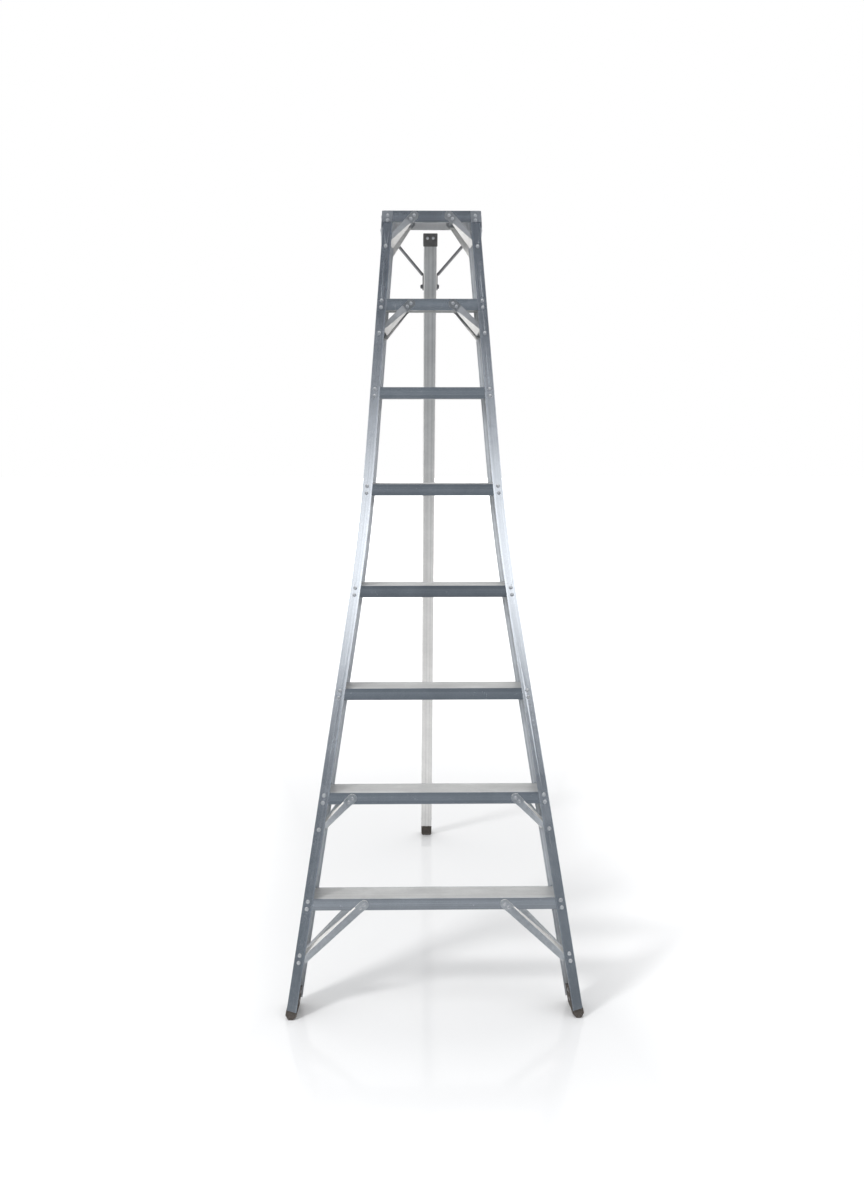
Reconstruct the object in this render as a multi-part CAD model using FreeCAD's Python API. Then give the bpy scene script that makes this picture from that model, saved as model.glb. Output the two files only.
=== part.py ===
import FreeCAD, Part
import math
import os

# Aluminium orchard tripod ladder: a flared climbing frame of two channel
# rails, seven treads and a deep top cap, and one folding rear pole hung on
# two bent struts from hinge plates at the head of the rails.
# Units are millimetres.  +Z is up, +X is to the right of someone facing the
# treads, and the pole foot is towards +Y.

# ---------------------------------------------------------------- dimensions
LEAN = 13.0            # climbing frame leans back, degrees from vertical
STEP = 304.8           # tread pitch along the rails over the lower frame
GAPS = [304.8, 304.8, 304.8, 306.5, 296.5, 274.6, 274.6]
FIRST_TREAD_Z = 332.0  # top of the lowest tread above the floor
CAP_Z = 2346.4         # top of the cap above the floor

RAIL_D = 110.0         # depth of the channel, front to back
RAIL_T = 3.0           # rail wall
FLANGE_F = 29.0        # front flange width, with its lip
LIP_W, LIP_H = 4.0, 0.8 # raised lip along the inner edge of the front flange
FLANGE_R = 34.0        # rear flange width
HALF_AT_BEND = 218.4   # half width at the corner of the two straight lines
S_BEND = 1423.0        # distance of that corner from the floor, along the rail
SLOPE_LO = 0.1494      # flare of the lower part
SLOPE_UP = 0.0739      # flare of the upper part
BEND_R = 6400.0        # radius of the rail bend, at the outer face
RAIL_END_S = 10.0      # rails are drawn down to here, then trimmed to the shoe

TREAD_CLEAR = 0.2      # tread to flange
SKIRT = 34.6           # height of tread and cap skirts
TREAD_T = 3.0          # skirt wall
TOP_T = 3.8            # top plate
GROOVE_W, GROOVE_D, GROOVE_P = 2.2, 0.35, 7.0

CAP_Y0, CAP_Y1 = 533.6, 705.6  # faces of the cap's upright skirts
CAP_T = 3.0

RIVET_IN = 13.5        # rivet line from the outer face of the rail
RIVET_R = 3.0
HOLE_R = 3.05

POLE_W = 42.0          # pole tube, square
POLE_WALL = 3.0
POLE_ANG = 23.226      # pole from vertical, at rest
POLE_FOOT_Y = 1738.8   # centre line of the pole on the floor
POLE_TOP_Z = 2305.0
POLE_END_Z = 51.0      # lower end of the tube, centre line

HINGE_Y, HINGE_Z = 684.0, 2301.5
ROD_R = 5.0
BUSH_BORE = 5.05
BRACE_T = 2.4

V = FreeCAD.Vector
O = V(0, 0, 0)
TL = math.tan(math.radians(LEAN))
CL = math.cos(math.radians(LEAN))
SL = math.sin(math.radians(LEAN))


# ------------------------------------------------- frame of the leaning rails
# Local axes: x across, n square to the rail faces towards the back, s along
# the rails from the floor.
def to_world(shape):
    s = shape.copy()
    s.rotate(O, V(1, 0, 0), -LEAN)
    return s


def local(y, z):
    return (y * CL - z * SL, y * SL + z * CL)


def s_at(n, z):
    # s of the horizontal plane z at depth n
    return z / CL + n * TL


def unit(x, z):
    m = math.hypot(x, z)
    return (x / m, z / m)


DL = unit(-SLOPE_LO, 1.0)
DU = unit(-SLOPE_UP, 1.0)
NL = (-DL[1], DL[0])       # inward normals
NU = (-DU[1], DU[0])
TURN = math.atan(SLOPE_LO) - math.atan(SLOPE_UP)
TAN_LEN = BEND_R * math.tan(TURN / 2)
IX, IS = HALF_AT_BEND, S_BEND
T_LO = (IX - DL[0] * TAN_LEN, IS - DL[1] * TAN_LEN)
ARC_C = (T_LO[0] - NL[0] * BEND_R, T_LO[1] - NL[1] * BEND_R)
NM = unit(NL[0] + NU[0], NL[1] + NU[1])


def half(s):
    # outer half width at s
    lo = HALF_AT_BEND + SLOPE_LO * (S_BEND - s)
    up = HALF_AT_BEND + SLOPE_UP * (S_BEND - s)
    s1 = T_LO[1]
    s2 = ARC_C[1] + NU[1] * BEND_R
    if s <= s1:
        return lo
    if s >= s2:
        return up
    dz = s - ARC_C[1]
    return ARC_C[0] - math.sqrt(BEND_R ** 2 - dz ** 2)


def edge_pts(d, s_lo, s_hi):
    # points of the rail line at inward offset d: end, tangent, mid, tangent, end
    tl = (ARC_C[0] + NL[0] * (BEND_R + d), ARC_C[1] + NL[1] * (BEND_R + d))
    tu = (ARC_C[0] + NU[0] * (BEND_R + d), ARC_C[1] + NU[1] * (BEND_R + d))
    tm = (ARC_C[0] + NM[0] * (BEND_R + d), ARC_C[1] + NM[1] * (BEND_R + d))
    # lower end: foot of the square cut, from the outer line at s_lo
    o = (HALF_AT_BEND + SLOPE_LO * (S_BEND - s_lo), s_lo)
    lo = (o[0] + NL[0] * d, o[1] + NL[1] * d)
    q = (HALF_AT_BEND + SLOPE_UP * (S_BEND - s_hi), s_hi)
    hi = (q[0] + NU[0] * d, q[1] + NU[1] * d)
    return lo, tl, tm, tu, hi


def strip(d0, d1, n0, n1, s_lo=RAIL_END_S, s_hi=2470.0):
    # right-hand band between two offsets of the rail line
    a = edge_pts(d0, s_lo, s_hi)
    b = edge_pts(d1, s_lo, s_hi)
    P = lambda p: V(p[0], n0, p[1])
    edges = [
        Part.makeLine(P(a[0]), P(a[1])),
        Part.Arc(P(a[1]), P(a[2]), P(a[3])).toShape(),
        Part.makeLine(P(a[3]), P(a[4])),
        Part.makeLine(P(a[4]), P(b[4])),
        Part.makeLine(P(b[4]), P(b[3])),
        Part.Arc(P(b[3]), P(b[2]), P(b[1])).toShape(),
        Part.makeLine(P(b[1]), P(b[0])),
        Part.makeLine(P(b[0]), P(a[0])),
    ]
    f = Part.Face(Part.Wire(edges))
    return f.extrude(V(0, n1 - n0, 0))


def between(d, n0, n1, s_lo=-80.0, s_hi=2520.0):
    # everything between the two rail lines at inward offset d
    a = edge_pts(d, s_lo, s_hi)
    P = lambda p, m=1: V(m * p[0], n0, p[1])
    edges = [
        Part.makeLine(P(a[0]), P(a[1])),
        Part.Arc(P(a[1]), P(a[2]), P(a[3])).toShape(),
        Part.makeLine(P(a[3]), P(a[4])),
        Part.makeLine(P(a[4]), P(a[4], -1)),
        Part.makeLine(P(a[4], -1), P(a[3], -1)),
        Part.Arc(P(a[3], -1), P(a[2], -1), P(a[1], -1)).toShape(),
        Part.makeLine(P(a[1], -1), P(a[0], -1)),
        Part.makeLine(P(a[0], -1), P(a[0])),
    ]
    f = Part.Face(Part.Wire(edges))
    return f.extrude(V(0, n1 - n0, 0))


def mirror(shape):
    return shape.mirror(O, V(1, 0, 0))


def poly_x(pts, x0, x1):
    # polygon in (n, s) extruded across
    w = Part.makePolygon([V(x0, p[0], p[1]) for p in pts] + [V(x0, pts[0][0], pts[0][1])])
    return Part.Face(w).extrude(V(x1 - x0, 0, 0))


def poly_n(pts, n0, n1):
    # polygon in (x, s) extruded front to back
    w = Part.makePolygon([V(p[0], n0, p[1]) for p in pts] + [V(pts[0][0], n0, pts[0][1])])
    return Part.Face(w).extrude(V(0, n1 - n0, 0))


def cyl_n(x, s, n0, n1, r):
    return Part.makeCylinder(r, n1 - n0, V(x, n0, s), V(0, 1, 0))


def revolved(pts, base, axis):
    # pts: (radius, height) list or ("arc", mid, end); revolved about axis at base
    edges = []
    cur = pts[0]
    for p in pts[1:]:
        if p[0] == "arc":
            m, e = p[1], p[2]
            edges.append(Part.Arc(V(cur[0], 0, cur[1]), V(m[0], 0, m[1]), V(e[0], 0, e[1])).toShape())
            cur = e
        else:
            edges.append(Part.makeLine(V(cur[0], 0, cur[1]), V(p[0], 0, p[1])))
            cur = p
    if abs(cur[0] - pts[0][0]) + abs(cur[1] - pts[0][1]) > 1e-9:
        edges.append(Part.makeLine(V(cur[0], 0, cur[1]), V(pts[0][0], 0, pts[0][1])))
    f = Part.Face(Part.Wire(edges))
    s = f.revolve(O, V(0, 0, 1), 360)
    rot = FreeCAD.Rotation(V(0, 0, 1), V(*axis))
    s.Placement = FreeCAD.Placement(V(*base), rot)
    return s


def rivet(base, axis, grip, head_r=5.7, head_h=2.7, tail_r=4.6, tail_h=2.2, shank=RIVET_R):
    # axis points from the head into the sheets; base is the face under the head.
    # Domed head with the small centre recess of a blind rivet.
    rr = 1.7
    pts = [(0, -head_h + 1.3), (rr, -head_h + 1.3), (rr, -head_h + 0.12),
           ("arc", (head_r * 0.76, -head_h * 0.62), (head_r, -0.25)), (head_r, 0),
           (shank, 0), (shank, grip), (tail_r, grip), (tail_r * 0.92, grip + tail_h * 0.75),
           (tail_r * 0.55, grip + tail_h), (0, grip + tail_h)]
    return revolved(pts, base, axis)


def hexagon(base, axis, af, h, hole_r=0.0):
    # hexagon prism with chamfered corners
    r = af / math.sqrt(3.0)
    w = Part.makePolygon([V(r * math.cos(math.radians(60 * k + 30)), r * math.sin(math.radians(60 * k + 30)), 0) for k in range(7)])
    s = Part.Face(w).extrude(V(0, 0, h))
    cone = Part.makeCone(r * 0.93 + h * 1.2, r * 0.93, h, O, V(0, 0, 1))
    s = s.common(cone)
    if hole_r:
        s = s.cut(Part.makeCylinder(hole_r, h + 2, V(0, 0, -1)))
    s.Placement = FreeCAD.Placement(V(*base), FreeCAD.Rotation(V(0, 0, 1), V(*axis)))
    return s


def cut_all(shape, tools):
    if not tools:
        return shape
    return shape.cut(tools)


nodes = {}
order = []


def add(name, shape):
    nodes[name] = shape
    order.append(name)


# -------------------------------------------------------- tread levels
tread_z = [FIRST_TREAD_Z]
for g in GAPS[:-1]:
    tread_z.append(tread_z[-1] + g * CL)
D = RAIL_D

# ---------------------------------------------------------------- rivet lists
# (x, s) on the right-hand rail; each also exists mirrored
tread_rivets = []
for z in tread_z:
    st = s_at(3.2, z)
    for ds in (7.0, 28.0):
        s = st - ds
        tread_rivets.append((half(s) - RIVET_IN, s))

# Knee braces: E upper end on the skirt, G on the rail's inner edge,
# hg half width of the plate there, lo / up (db, depth) free edge of the lower
# and upper side flange at G, rail rivets
BRACES = {
    "1": dict(E=(205.0, 314.2), G=(368.8, 175.3), hg=9.3, up=(9.0, 30.0), lo=(1.5, 18.0), riv=(182.0, 161.5)),
    "2": dict(E=(239.8, 612.0), G=(311.0, 557.0), hg=6.8, up=(7.0, 24.0), lo=(1.5, 16.0), riv=(540.5,)),
    "7": dict(E=(64.0, 2064.2), G=(139.8, 2051.0), hg=6.3, up=(1.5, 16.0), lo=(12.0, 26.0), riv=(2026.0,)),
    "cap": dict(E=(53.0, 2332.0), G=(123.3, 2326.6), hg=6.3, up=(1.5, 16.0), lo=(12.5, 28.0), riv=(2297.0,)),
}
END_R = 13.4


def brace_axis(b):
    # unit axis towards the rail and its normal, in the rails' plane
    ex, es = b["E"][0], b["E"][1] / CL
    gx, gs = b["G"]
    L = math.hypot(gx - ex, gs - es)
    a = ((gx - ex) / L, (gs - es) / L)
    return L, a, (-a[1], a[0])


def tab_axis(b):
    # the same in the upright plane of the skirt
    ex, ez = b["E"]
    gx, gz = b["G"][0], b["G"][1] * CL
    L = math.hypot(gx - ex, gz - ez)
    a = ((gx - ex) / L, (gz - ez) / L)
    return a, (-a[1], a[0])


def brace_rivets_up(b):
    # x, z of the two rivets through the skirt
    ex, ez = b["E"]
    a, up = tab_axis(b)
    return [(ex + a[0] * k, ez + a[1] * k) for k in (0.0, 14.5)]


def make_brace(b, y_face, n_face, side):
    # y_face: face of the upright skirt the tab lies on; n_face: face of the
    # rail flange the foot lies on; side +1 front, -1 rear (body inward)
    t = BRACE_T
    L, a, up = brace_axis(b)
    ta, tup = tab_axis(b)
    ex, ez = b["E"]
    gx, gs = b["G"]

    def T(tt, bb, dn):
        # tab plane, dn measured inward from the tab's outer face
        y = y_face - side * (t + 0.15) + side * dn
        x = ex + ta[0] * tt + tup[0] * bb
        z = ez + ta[1] * tt + tup[1] * bb
        n, s = local(y, z)
        return V(x, n, s)

    def R(tt, bb, dn):
        # foot plane, tt measured past G
        n = n_face + side * 0.25 + side * dn
        return V(gx + a[0] * tt + up[0] * bb, n, gs + a[1] * tt + up[1] * bb)

    ext = 14.0
    k = (L + ext) / L
    hg = b["hg"]
    du, dpu = b["up"][0] * k, b["up"][1] * k
    dl, dpl = b["lo"][0] * k, b["lo"][1] * k
    T0 = 24.0
    h0 = END_R + (b["hg"] - END_R) * T0 / L

    def closed(pts):
        return Part.makePolygon(pts + [pts[0]])

    # the wider side flange starts as a narrow bevel beside the tab
    mu, ml = (3.5, 0.0) if b["up"][1] > b["lo"][1] else (0.0, 3.5)
    w1 = closed([T(T0, h0 - mu, 0), T(T0, h0, t), T(T0, -h0, t), T(T0, -h0 + ml, 0)])
    w2 = closed([R(ext, hg, 0), R(ext, hg + du, dpu), R(ext, -hg - dl, dpl), R(ext, -hg, 0)])
    outer = Part.makeLoft([w1, w2], True, True)
    over = 30.0
    su, sl = du / dpu, dl / dpl
    i1 = closed([T(T0, h0 - t, t), T(T0, h0 - t, t + over), T(T0, -h0 + t, t + over), T(T0, -h0 + t, t)])
    i2 = closed([R(ext + 0.4, hg - t, t), R(ext + 0.4, hg - t + su * over, t + over),
                 R(ext + 0.4, -hg + t - sl * over, t + over), R(ext + 0.4, -hg + t, t)])
    inner = Part.makeLoft([i1, i2], True, True)
    body = outer.cut(inner)
    q = [T(0, END_R, 0), T(T0 + 0.5, h0, 0), T(T0 + 0.5, -h0, 0), T(0, -END_R, 0)]
    axis = T(0, 0, t) - T(0, 0, 0)
    plate = Part.Face(closed(q)).extrude(axis)
    disc = Part.makeCylinder(END_R, t, T(0, 0, 0), axis)
    body = body.fuse([plate, disc])
    # foot inside the rail, under the rail rivets
    s_hi = max(max(b["riv"]) + 11.0, b["G"][1] + 4.0)
    s_lo = min(b["riv"]) - 11.0
    na = n_face + side * 0.25
    nb = na + side * t
    foot = strip(RAIL_T + 1.0, FLANGE_F - 1.0, min(na, nb), max(na, nb), s_lo=20, s_hi=2470)
    foot = foot.common(Part.makeBox(500, t + 2, s_hi - s_lo, V(0, min(na, nb) - 1, s_lo)))
    body = body.fuse(foot).removeSplitter()
    return body.common(between(RAIL_T + 1.0, -40, 160))


# ---------------------------------------------------------------- rails
web = strip(0, RAIL_T, 0, D)
ff = strip(0, FLANGE_F, 0, RAIL_T)
rf = strip(0, FLANGE_R, D - RAIL_T, D)
lip = strip(FLANGE_F - LIP_W, FLANGE_F, -LIP_H, RAIL_T)
rail = web.fuse([ff, rf, lip]).removeSplitter()

holes_f, holes_r = [], []
for (x, s) in tread_rivets:
    holes_f.append(cyl_n(x, s, -1, 8, HOLE_R))
    holes_r.append(cyl_n(x, s, D - 8, D + 1, HOLE_R))
rail_brace_pts = []
for key, b in BRACES.items():
    for s in b["riv"]:
        x = half(s) - RIVET_IN
        rail_brace_pts.append((key, x, s))
        holes_f.append(cyl_n(x, s, -1, 8, HOLE_R))
        holes_r.append(cyl_n(x, s, D - 8, D + 12, HOLE_R))
cap_pts = [(133.5, 2331.5), (134.0, 2317.5)]   # x, z of the rivets through tab, skirt and flange


def cyl_y(x, z, y0, y1, r):
    return Part.makeCylinder(r, y1 - y0, V(x, y0, z), V(0, 1, 0))


def box_w(x0, x1, y0, y1, z0, z1):
    return Part.makeBox(x1 - x0, y1 - y0, z1 - z0, V(x0, y0, z0))



# bolts through the web: (n, s, line) at the head of the rail and at the shoe
PLATE_T = 5.0
PLATE_GAP = 0.2
WEB_R, WEB_HOLE = 3.9, 4.0
plate_bolts = [local(566.0, 2331.0), local(622.0, 2326.0), local(570.0, 2292.0)]
shoe_bolts = [(50.0, 49.0), (50.0, 75.0)]


def web_point(n, s, d):
    # point at offset d from the outer face at height s, and the inward normal
    nn = NL if s < S_BEND else NU
    return (half(s) + nn[0] * d, n, s + nn[1] * d), (nn[0], 0, nn[1])


def web_cyl(n, s, d0, d1, r):
    p, ax = web_point(n, s, d0)
    return Part.makeCylinder(r, d1 - d0, V(*p), V(*ax))


web_holes = [web_cyl(n, s, -9, 12, WEB_HOLE) for (n, s) in plate_bolts + shoe_bolts]
rail = rail.cut(holes_f + holes_r + web_holes)
# foot of the rail: level front to back, outer corner higher than the inner
END_X, END_Z, END_K = half(27.7), 27.0, 0.27


def under_end(gap=0.0):
    # everything below the cut across the foot of the right rail
    pts = [(END_X + dx, END_Z + END_K * dx + gap) for dx in (-90.0, 60.0)] + [(END_X + 60.0, -200.0), (END_X - 90.0, -200.0)]
    w = Part.makePolygon([V(x, -200, z) for (x, z) in pts] + [V(pts[0][0], -200, pts[0][1])])
    return Part.Face(w).extrude(V(0, 600, 0))


# head of the rail stops under the cap's top plate
rail_w = to_world(rail)
rail_w = rail_w.cut([under_end(),Part.makeBox(1200, 1200, 400, V(-600, -100, CAP_Z - TOP_T - 0.3)),
                     box_w(-600, 600, 400, CAP_Y0 + CAP_T + 0.25, CAP_Z - SKIRT - 0.3, CAP_Z + 80)]
                    + [cyl_y(x, z, CAP_Y0 - 10, CAP_Y0 + 16, HOLE_R) for (x, z) in cap_pts])
add("right_rail", rail_w)
add("left_rail", mirror(rail_w))

# ---------------------------------------------------------------- treads


def channel(y0, y1, z, wall, x0, x1):
    # level tread or cap: ribbed top and two upright skirts
    pts = [(y0, z - SKIRT), (y0, z)]
    y = y0 + 6.0
    while y < y1 - 6.0 - GROOVE_W:
        pts += [(y, z), (y, z - GROOVE_D), (y + GROOVE_W, z - GROOVE_D), (y + GROOVE_W, z)]
        y += GROOVE_P
    pts += [(y1, z), (y1, z - SKIRT), (y1 - wall, z - SKIRT), (y1 - wall, z - TOP_T),
            (y0 + wall, z - TOP_T), (y0 + wall, z - SKIRT), (y0, z - SKIRT)]
    w = Part.makePolygon([V(x0, p[0], p[1]) for p in pts])
    return Part.Face(w).extrude(V(x1 - x0, 0, 0))


def tread_y(z):
    # front and back faces of the upright skirts of the tread whose top is at z
    ya = z * TL + (RAIL_T + TREAD_CLEAR) / CL
    yb = (z - SKIRT) * TL + (D - RAIL_T - TREAD_CLEAR) / CL
    return ya, yb


inside = to_world(between(RAIL_T + TREAD_CLEAR, -40, 240))
inside_out = to_world(between(0.0, -60, 300))
ear_zone = strip(RAIL_T + TREAD_CLEAR, FLANGE_F - 1.5, 0, D)

brace_z = {"1": tread_z[0], "2": tread_z[1], "7": tread_z[6], "cap": CAP_Z}
upper_pts = {}
for key, b in BRACES.items():
    upper_pts[key] = brace_rivets_up(b)

for i, z in enumerate(tread_z):
    ya, yb = tread_y(z)
    t = channel(ya, yb, z, TREAD_T, -450, 450).common(inside)
    # ends: ears turned to lie along the two flanges of the rail
    n0, n1 = RAIL_T + TREAD_CLEAR, D - RAIL_T - TREAD_CLEAR
    ear_f = poly_x([(n0, s_at(n0, z)), (n0 + 3.0, s_at(n0 + 3.0, z)), (n0 + 3.0, s_at(n0 + 3.0, z - SKIRT)), (n0, s_at(n0, z - SKIRT))], 0, 450)
    ear_r = poly_x([(n1, s_at(n1, z)), (n1 - 3.0, s_at(n1 - 3.0, z)), (n1 - 3.0, s_at(n1 - 3.0, z - SKIRT)), (n1, s_at(n1, z - SKIRT))], 0, 450)
    top_r = poly_x([(n1 - 12.0, s_at(n1 - 12.0, z)), (n1, s_at(n1, z)), (n1, s_at(n1, z - TOP_T)), (n1 - 12.0, s_at(n1 - 12.0, z - TOP_T))], 0, 450)
    ears = [to_world(e.common(ear_zone)) for e in (ear_f, ear_r, top_r)]
    t = t.fuse(ears + [mirror(e) for e in ears]).removeSplitter()
    tools = []
    for (x, s) in tread_rivets[2 * i:2 * i + 2]:
        both_t = [cyl_n(x, s, -1, 10, HOLE_R), cyl_n(x, s, D - 10, D + 1, HOLE_R),
                  cyl_n(x, s, n0 + 3.0, n0 + 12.0, 5.0), cyl_n(x, s, n1 - 12.0, n1 - 3.0, 5.0)]
        for c in both_t:
            cw = to_world(c)
            tools += [cw, mirror(cw)]
    if str(i + 1) in upper_pts:
        for (x, zz) in upper_pts[str(i + 1)]:
            for m in (1, -1):
                tools.append(cyl_y(m * x, zz, ya - 3, ya + 6, HOLE_R))
                tools.append(cyl_y(m * x, zz, yb - 6, yb + 3, HOLE_R))
    add("tread_%d" % (i + 1), t.cut(tools))

# ---------------------------------------------------------------- top cap
cap = channel(CAP_Y0, CAP_Y1, CAP_Z, CAP_T, -300, 300).common(inside_out)
tools = []
for (x, z) in cap_pts + upper_pts["cap"]:
    for m in (1, -1):
        tools.append(cyl_y(m * x, z, CAP_Y0 - 6, CAP_Y0 + 6, HOLE_R))
CAP_REAR_Z = CAP_Z - 17.5
cap_rear_pts = [(62.0, CAP_REAR_Z), (77.0, CAP_REAR_Z)]
for (x, z) in cap_rear_pts:
    for m in (1, -1):
        tools.append(cyl_y(m * x, z, CAP_Y1 - 6, CAP_Y1 + 6, HOLE_R))
add("top_cap", cap.cut(tools))

# ---------------------------------------------------------------- knee braces
rivets_tread_f, rivets_tread_r, rivets_brace, rivets_cap = [], [], [], []


def both(lst, shape):
    w = to_world(shape)
    lst.append(w)
    lst.append(mirror(w))


for (x, s) in tread_rivets:
    both(rivets_tread_f, rivet((x, 0.0, s), (0, 1, 0), RAIL_T + TREAD_CLEAR + TREAD_T))
    both(rivets_tread_r, rivet((x, D, s), (0, -1, 0), RAIL_T + TREAD_CLEAR + TREAD_T))


def both_w(lst, shape):
    lst.append(shape)
    lst.append(mirror(shape))


def biggest(shape):
    if len(shape.Solids) > 1:
        return max(shape.Solids, key=lambda q: q.Volume)
    return shape


for key, b in BRACES.items():
    z = brace_z[key]
    if key != "cap":
        ya, yb = tread_y(z)
        wall = TREAD_T
    else:
        ya, yb = CAP_Y0, CAP_Y1
        wall = CAP_T
    ups = upper_pts[key]
    riv = [(x, s) for (k2, x, s) in rail_brace_pts if k2 == key]
    front = make_brace(b, ya, RAIL_T, 1)
    front = front.cut([strip(-1.0, FLANGE_F + 0.3, -40, RAIL_T + 0.12)] + [cyl_n(x, s, -1, 12, HOLE_R) for (x, s) in riv])
    wf = to_world(front)
    # clear of the skirt behind the tab
    wf = wf.cut([box_w(-10, 400, ya - 0.12, ya + wall + 0.12, z - SKIRT - 0.15, z + 20)]
                + [cyl_y(x, zz, ya - 9, ya + 9, HOLE_R) for (x, zz) in ups])
    wf = biggest(wf)
    add("brace_%s_front_right" % key, wf)
    add("brace_%s_front_left" % key, mirror(wf))
    for (x, zz) in ups:
        both_w(rivets_brace, rivet((x, ya - BRACE_T - 0.2, zz), (0, 1, 0), wall + BRACE_T + 0.25, head_r=5.2, head_h=2.4))
    for (x, s) in riv:
        both(rivets_brace, rivet((x, 0.0, s), (0, 1, 0), RAIL_T + BRACE_T + 0.3))

    if key != "cap":
        rear = make_brace(b, yb, D - RAIL_T, -1)
        rear = rear.cut([strip(-1.0, FLANGE_R + 0.3, D - RAIL_T - 0.12, D + 40)] + [cyl_n(x, s, D - 12, D + 1, HOLE_R) for (x, s) in riv])
        wr = to_world(rear)
        wr = wr.cut([box_w(-10, 400, yb - wall - 0.12, yb + 0.12, z - SKIRT - 0.15, z + 20)]
                    + [cyl_y(x, zz, yb - 9, yb + 9, HOLE_R) for (x, zz) in ups])
        wr = biggest(wr)
        for (x, zz) in ups:
            both_w(rivets_brace, rivet((x, yb + BRACE_T + 0.2, zz), (0, -1, 0), wall + BRACE_T + 0.25, head_r=5.2, head_h=2.4))
        for (x, s) in riv:
            both(rivets_brace, rivet((x, D, s), (0, -1, 0), RAIL_T + BRACE_T + 0.3))
    else:
        # cranked brace: upright tab inside the rear skirt, slope, foot behind
        # the rail's rear flange
        t = BRACE_T
        y1 = CAP_Y1 - CAP_T - 0.15
        tz = CAP_REAR_Z
        tab = Part.Face(Part.makePolygon([V(x, y1 - t, zz) for (x, zz) in ((50, tz + 11), (89, tz + 11), (92, tz - 8), (62, tz - 15), (50, tz - 4), (50, tz + 11))])).extrude(V(0, t, 0))
        sr = 2297.0
        xr = half(sr) - RIVET_IN
        low_tab = to_world(poly_n([(xr - 21, sr + 20), (xr - 2, sr + 26), (xr + 9, sr + 10), (xr + 9, sr - 11), (xr - 9, sr - 11), (xr - 21, sr + 2)], D + 0.15, D + 0.15 + t))

        def W(x, n, s):
            return V(x, n * CL + s * SL, -n * SL + s * CL)

        w1 = Part.makePolygon([V(60, y1 - t, tz - 10), V(91, y1 - t, tz - 10), V(91, y1, tz - 10), V(60, y1, tz - 10), V(60, y1 - t, tz - 10)])
        w2 = Part.makePolygon([W(xr - 21, D + 0.15, sr + 6), W(xr - 2, D + 0.15, sr + 24), W(xr - 2, D + 0.15 + t, sr + 24), W(xr - 21, D + 0.15 + t, sr + 6), W(xr - 21, D + 0.15, sr + 6)])
        slope = Part.makeLoft([w1, w2], True, True)
        wr = tab.fuse([slope, low_tab]).removeSplitter()
        wr = wr.cut([cyl_y(x, zz, CAP_Y1 - 9, CAP_Y1 + 4, HOLE_R) for (x, zz) in cap_rear_pts] + [to_world(cyl_n(xr, sr, D - 8, D + 12, HOLE_R)),
                     box_w(-10, 400, CAP_Y1 - CAP_T - 0.12, CAP_Y1 + 5, CAP_Z - SKIRT - 0.12, CAP_Z),
                     to_world(strip(-1, FLANGE_R + 2, D - 5, D + 0.12))])
        wr = biggest(wr)
        for (x, zz) in cap_rear_pts:
            both_w(rivets_brace, rivet((x, CAP_Y1, zz), (0, -1, 0), CAP_T + BRACE_T + 0.15))
        both(rivets_brace, rivet((xr, D + 0.15 + t, sr), (0, -1, 0), RAIL_T + BRACE_T + 0.15))
    add("brace_%s_rear_right" % key, wr)
    add("brace_%s_rear_left" % key, mirror(wr))

# ---------------------------------------------------------------- hinge plates
hn, hs = local(HINGE_Y, HINGE_Z)
# stop pin behind the strut, seen from the side
rod_dir = (802.0 - HINGE_Y, 2184.0 - HINGE_Z)
rl = math.hypot(*rod_dir)
rod_u = (rod_dir[0] / rl, rod_dir[1] / rl)
rod_v = (-rod_u[1], rod_u[0])          # back and up
PIN_R = 4.5
pin_y = HINGE_Y + rod_u[0] * 26.0 + rod_v[0] * (ROD_R + PIN_R + 0.35)
pin_z = HINGE_Z + rod_u[1] * 26.0 + rod_v[1] * (ROD_R + PIN_R + 0.35)
pn, ps = local(pin_y, pin_z)
ZT = CAP_Z - 0.9
ZB = CAP_Z - SKIRT + 1.0
YF = CAP_Y0 - 0.2 - 3.1
outline_w = [(YF, ZT), (672.0, ZT), (HINGE_Y + 13, HINGE_Z + 15), (HINGE_Y + 20, HINGE_Z + 6),
             (pin_y + 12, pin_z + 6), (pin_y + 11, pin_z - 8), (pin_y, pin_z - 13), (HINGE_Y - 8, HINGE_Z - 22),
             (620.0, 2260.0), (566.0, 2276.0), (536.0, 2296.0), (YF, ZB)]
outline = [local(y, z) for (y, z) in outline_w]
side = poly_x(outline, 90, 220)
band = strip(-PLATE_GAP - PLATE_T, -PLATE_GAP, -80, 260, s_hi=2520)
plate_w = to_world(side.common(band))
tab = to_world(strip(-PLATE_GAP - PLATE_T, 28.0, -80, 40, s_hi=2520)).common(box_w(90, 220, YF, CAP_Y0 - 0.2, ZB, ZT))
plate_w = plate_w.fuse(tab).removeSplitter()
BUSH_R = 9.0
plate_w = plate_w.cut([to_world(web_cyl(n, s, -12, 6, WEB_HOLE)) for (n, s) in plate_bolts]
                      + [cyl_y(x, z, YF - 4, CAP_Y0 + 4, HOLE_R) for (x, z) in cap_pts]
                      + [Part.makeCylinder(BUSH_R + 0.02, 60, V(120, HINGE_Y, HINGE_Z), V(1, 0, 0)),
                         Part.makeCylinder(PIN_R + 0.02, 60, V(120, pin_y, pin_z), V(1, 0, 0))])
add("hinge_plate_right", plate_w)
add("hinge_plate_left", mirror(plate_w))
for (x, z) in cap_pts:
    both_w(rivets_cap, rivet((x, YF, z), (0, 1, 0), 12.4, head_r=5.4, head_h=2.5))

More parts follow.
